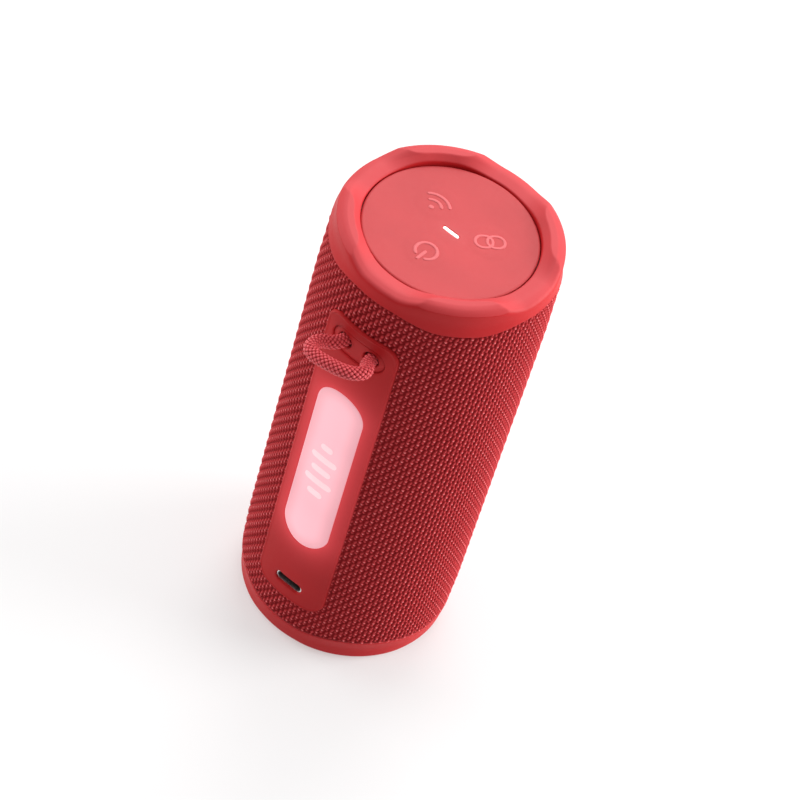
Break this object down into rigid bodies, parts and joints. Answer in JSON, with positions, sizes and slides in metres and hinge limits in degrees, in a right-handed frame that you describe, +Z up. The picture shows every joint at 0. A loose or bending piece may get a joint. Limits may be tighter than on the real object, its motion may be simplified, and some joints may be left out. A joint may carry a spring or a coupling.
{
  "type": "portable wireless speaker",
  "caption": "Upright cylindrical portable speaker with woven sleeve, rubber end bumpers, soft control disc, lit rear spine, charging socket and braided carry loop.",
  "frame": {"origin": "centre of the foot ring, on the surface that the speaker stands on", "axes": "+Z up along the can; -Y is the lit rear spine, +Y the side that the driver and the volume keys face; +X to the right seen from the spine side"},
  "size_m": [0.062, 0.0761, 0.148],
  "materials": {
    "bumper_rubber": "soft satin moulded rubber",
    "sleeve_fabric": "woven polyester with a slanted rib",
    "housing_plastic": "fine spark-eroded texture",
    "foot_plastic": "fine matt texture",
    "seal_rubber": "matt",
    "steel": "zinc plated",
    "disc_silicone": "silky soft-touch silicone",
    "status_lens": "milky, lit from behind",
    "board": "solder resist",
    "switch_plastic": "moulded",
    "led": "clear moulded package",
    "spine_rubber": "satin moulded rubber",
    "window_lens": "milky lens lit from behind",
    "window_print": "printed level bars",
    "guide_plastic": "milky light guide",
    "socket_metal": "drawn steel",
    "socket_contact": "moulded tongue with gilt contacts",
    "eyelet_rubber": "satin",
    "cord_braid": "tight diamond braid",
    "panel_rubber": "satin moulded rubber",
    "basket_steel": "black pressed steel",
    "magnet": "nickel plated",
    "cone_paper": "pulp cone",
    "copper": "enamelled copper winding",
    "spider_cloth": "resined cloth",
    "radiator_plastic": "fine matt texture",
    "radiator_rubber": "moulded half roll",
    "cell_wrap": "shrink sleeve",
    "chip": "moulded packages"
  },
  "bodies": {
    "housing": {"top_bumper": "bumper_rubber", "bottom_bumper": "bumper_rubber", "fabric_sleeve": "sleeve_fabric", "front_shell": "housing_plastic", "rear_shell": "housing_plastic", "top_cap": "housing_plastic", "bottom_cap": "foot_plastic", "top_gasket": "seal_rubber", "bottom_gasket": "seal_rubber", "board_screws": "steel", "control_disc": "disc_silicone", "status_light": "status_lens", "key_board": "board", "disc_switches": "switch_plastic", "status_led": "led", "rear_spine": "spine_rubber", "light_window": "window_lens", "window_marks": "window_print", "light_guide": "guide_plastic", "light_board": "board", "light_sources": "led", "socket_shell": "socket_metal", "socket_tongue": "socket_contact", "charge_board": "board", "loop_eyelets": "eyelet_rubber", "loop_clamp": "housing_plastic", "key_panel": "panel_rubber", "front_key_board": "board", "front_switches": "switch_plastic", "driver_grille": "housing_plastic", "driver_basket": "basket_steel", "driver_plate": "steel", "driver_magnet": "magnet", "driver_yoke": "steel", "driver_surround": "seal_rubber", "driver_spider": "spider_cloth", "radiator_surround": "radiator_rubber", "battery_cell": "cell_wrap", "battery_cradle": "housing_plastic", "main_board": "board", "board_components": "chip"},
    "power_key": {"power_key": "disc_silicone"},
    "link_key": {"link_key": "disc_silicone"},
    "pairing_key": {"pairing_key": "disc_silicone"},
    "volume_up_key": {"volume_up_key": "panel_rubber"},
    "play_key": {"play_key": "panel_rubber"},
    "volume_down_key": {"volume_down_key": "panel_rubber"},
    "driver_cone": {"driver_cone": "cone_paper", "voice_coil": "copper", "dust_cap": "cone_paper"},
    "passive_radiator": {"radiator_plate": "radiator_plastic", "radiator_weight": "steel"},
    "carry_loop": {"loop_cord": "cord_braid"}
  },
  "joints": [
    {"name": "power_key_press", "type": "slide", "parent": "housing", "child": "power_key", "axis": [0, 0, -1], "range_m": [0, 0.0004], "stiffness_N_per_m": 600},
    {"name": "link_key_press", "type": "slide", "parent": "housing", "child": "link_key", "axis": [0, 0, -1], "range_m": [0, 0.0004], "stiffness_N_per_m": 600},
    {"name": "pairing_key_press", "type": "slide", "parent": "housing", "child": "pairing_key", "axis": [0, 0, -1], "range_m": [0, 0.0004], "stiffness_N_per_m": 600},
    {"name": "volume_up_key_press", "type": "slide", "parent": "housing", "child": "volume_up_key", "axis": [0, -1, 0], "range_m": [0, 0.0004], "stiffness_N_per_m": 600},
    {"name": "play_key_press", "type": "slide", "parent": "housing", "child": "play_key", "axis": [0, -1, 0], "range_m": [0, 0.0004], "stiffness_N_per_m": 600},
    {"name": "volume_down_key_press", "type": "slide", "parent": "housing", "child": "volume_down_key", "axis": [0, -1, 0], "range_m": [0, 0.0004], "stiffness_N_per_m": 600},
    {"name": "cone_travel", "type": "slide", "parent": "housing", "child": "driver_cone", "axis": [0, 1, 0], "range_m": [-0.0018, 0.0018], "stiffness_N_per_m": 1500, "deforming": ["driver_surround", "driver_spider"]},
    {"name": "radiator_travel", "type": "slide", "parent": "housing", "child": "passive_radiator", "axis": [0, 0, 1], "range_m": [-0.0025, 0.0025], "stiffness_N_per_m": 900, "deforming": ["radiator_surround"]},
    {"name": "loop_swing", "type": "hinge", "parent": "housing", "child": "carry_loop", "pos_m": [0, -0.0325, 0.1225], "axis": [1, 0, 0], "range_deg": [-25, 45], "deforming": ["loop_cord"]}
  ]
}
